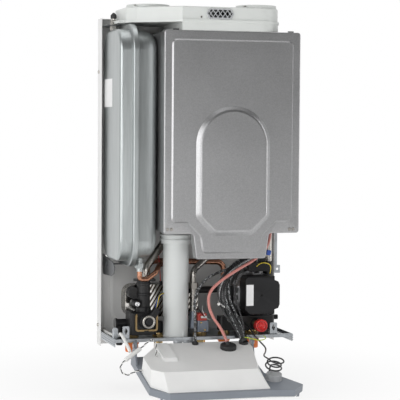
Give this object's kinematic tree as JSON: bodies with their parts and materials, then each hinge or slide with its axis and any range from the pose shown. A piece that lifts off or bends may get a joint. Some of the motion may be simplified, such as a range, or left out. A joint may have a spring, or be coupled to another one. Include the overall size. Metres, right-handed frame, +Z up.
{
  "type": "combi boiler",
  "caption": "Wall-hung condensing combi boiler without its casing, with pump, plate exchanger, vessel, sealed chamber and hinged control panel.",
  "frame": {"origin": "on the wall face, in the middle of the boiler's width, level with the underside of the base tray", "axes": "+X to the right as seen from the room, +Y into the wall, +Z up"},
  "size_m": [0.4458, 0.3787, 0.8964],
  "materials": {
    "painted_steel": "satin",
    "zinc": "satin",
    "dark_steel": "matt",
    "vessel_paint": "satin",
    "chamber_paint": "satin",
    "white_plastic": "matt",
    "grey_plastic": "matt",
    "black_plastic": "matt",
    "red_plastic": "gloss",
    "orange_plastic": "matt",
    "siphon_plastic": "translucent",
    "rubber": "matt",
    "seal_rubber": "matt",
    "aluminium": "cast",
    "steel": "satin",
    "chrome": "polished",
    "copper": "satin",
    "brass": "satin",
    "bronze": "satin",
    "ceramic": "gloss",
    "board": "matt",
    "clear": "clear",
    "pink_silicone": "matt",
    "white_cable": "matt",
    "black_cable": "matt"
  },
  "bodies": {
    "boiler": {"back_plate": "painted_steel", "base_tray": "zinc", "casing_brackets": "zinc", "vessel_bracket": "dark_steel", "vessel_left_half": "vessel_paint", "vessel_right_half": "vessel_paint", "vessel_diaphragm": "rubber", "charging_valve": "brass", "valve_cap": "black_plastic", "chamber_box": "chamber_paint", "chamber_front": "chamber_paint", "chamber_seal": "seal_rubber", "cover_screws": "steel", "heat_exchanger": "aluminium", "burner_door": "aluminium", "fan_housing": "black_plastic", "ignition_electrode": "ceramic", "gas_pipe": "steel", "flue_duct": "white_plastic", "top_box_base": "white_plastic", "top_box_lid": "white_plastic", "top_box_caps": "white_plastic", "top_grille": "white_plastic", "siphon_body": "siphon_plastic", "pump_housing": "black_plastic", "pump_motor": "aluminium", "pump_control_box": "black_plastic", "relief_valve": "brass", "return_manifold": "black_plastic", "diverter_valve": "black_plastic", "valve_actuator": "black_plastic", "actuator_clip": "bronze", "plate_exchanger": "steel", "gas_valve": "aluminium", "gas_valve_coil": "red_plastic", "steel_pipes": "steel", "copper_pipes": "copper", "pipe_tails": "brass", "tail_caps": "orange_plastic", "drain_elbow": "black_plastic", "ignition_lead": "pink_silicone", "wire_harness": "black_cable", "thermostat_lead": "white_cable", "lead_connector": "white_cable", "gauge_capillary": "black_cable"},
    "fan_rotor": {"fan_impeller": "black_plastic"},
    "pump_rotor": {"pump_impeller": "black_plastic"},
    "relief_cap": {"relief_knob": "red_plastic"},
    "diverter_spindle": {"diverter_stem": "steel"},
    "panel": {"panel_frame": "grey_plastic", "panel_cover": "white_plastic", "panel_face": "white_plastic", "clear_windows": "clear", "circuit_board": "board", "pressure_gauge": "grey_plastic", "cable_grommet": "rubber"},
    "needle": {"gauge_needle": "red_plastic"},
    "plus_button": {"button_plus": "grey_plastic"},
    "minus_button": {"button_minus": "grey_plastic"},
    "mode_button": {"button_mode": "grey_plastic"}
  },
  "joints": [
    {"name": "panel_hinge", "type": "hinge", "parent": "boiler", "child": "panel", "pos_m": [0, -0.193, -0.006], "axis": [-1, 0, 0], "range_deg": [0, 104], "deforming": ["ignition_lead", "wire_harness", "thermostat_lead", "lead_connector", "gauge_capillary"]},
    {"name": "fan_spin", "type": "hinge", "parent": "boiler", "child": "fan_rotor", "pos_m": [0.049, -0.16, 0.385], "axis": [0, -1, 0], "continuous": true},
    {"name": "pump_spin", "type": "hinge", "parent": "boiler", "child": "pump_rotor", "pos_m": [0.146, -0.08, 0.1], "axis": [0, -1, 0], "continuous": true},
    {"name": "relief_turn", "type": "hinge", "parent": "boiler", "child": "relief_cap", "pos_m": [0.1445, -0.16, 0.027], "axis": [0, -1, 0], "range_deg": [0, 90]},
    {"name": "diverter_travel", "type": "slide", "parent": "boiler", "child": "diverter_spindle", "axis": [0, 1, 0], "range_m": [0, 0.008]},
    {"name": "needle_turn", "type": "hinge", "parent": "panel", "child": "needle", "pos_m": [0.125, -0.31141, -0.08911], "axis": [0, -0.2419, 0.9703], "range_deg": [0, 270]},
    {"name": "plus_press", "type": "slide", "parent": "panel", "child": "plus_button", "axis": [0, -0.2419, 0.9703], "range_m": [0, 0.0012], "stiffness_N_per_m": 900},
    {"name": "minus_press", "type": "slide", "parent": "panel", "child": "minus_button", "axis": [0, -0.2419, 0.9703], "range_m": [0, 0.0012], "stiffness_N_per_m": 900},
    {"name": "mode_press", "type": "slide", "parent": "panel", "child": "mode_button", "axis": [0, -0.2419, 0.9703], "range_m": [0, 0.0012], "stiffness_N_per_m": 900}
  ]
}
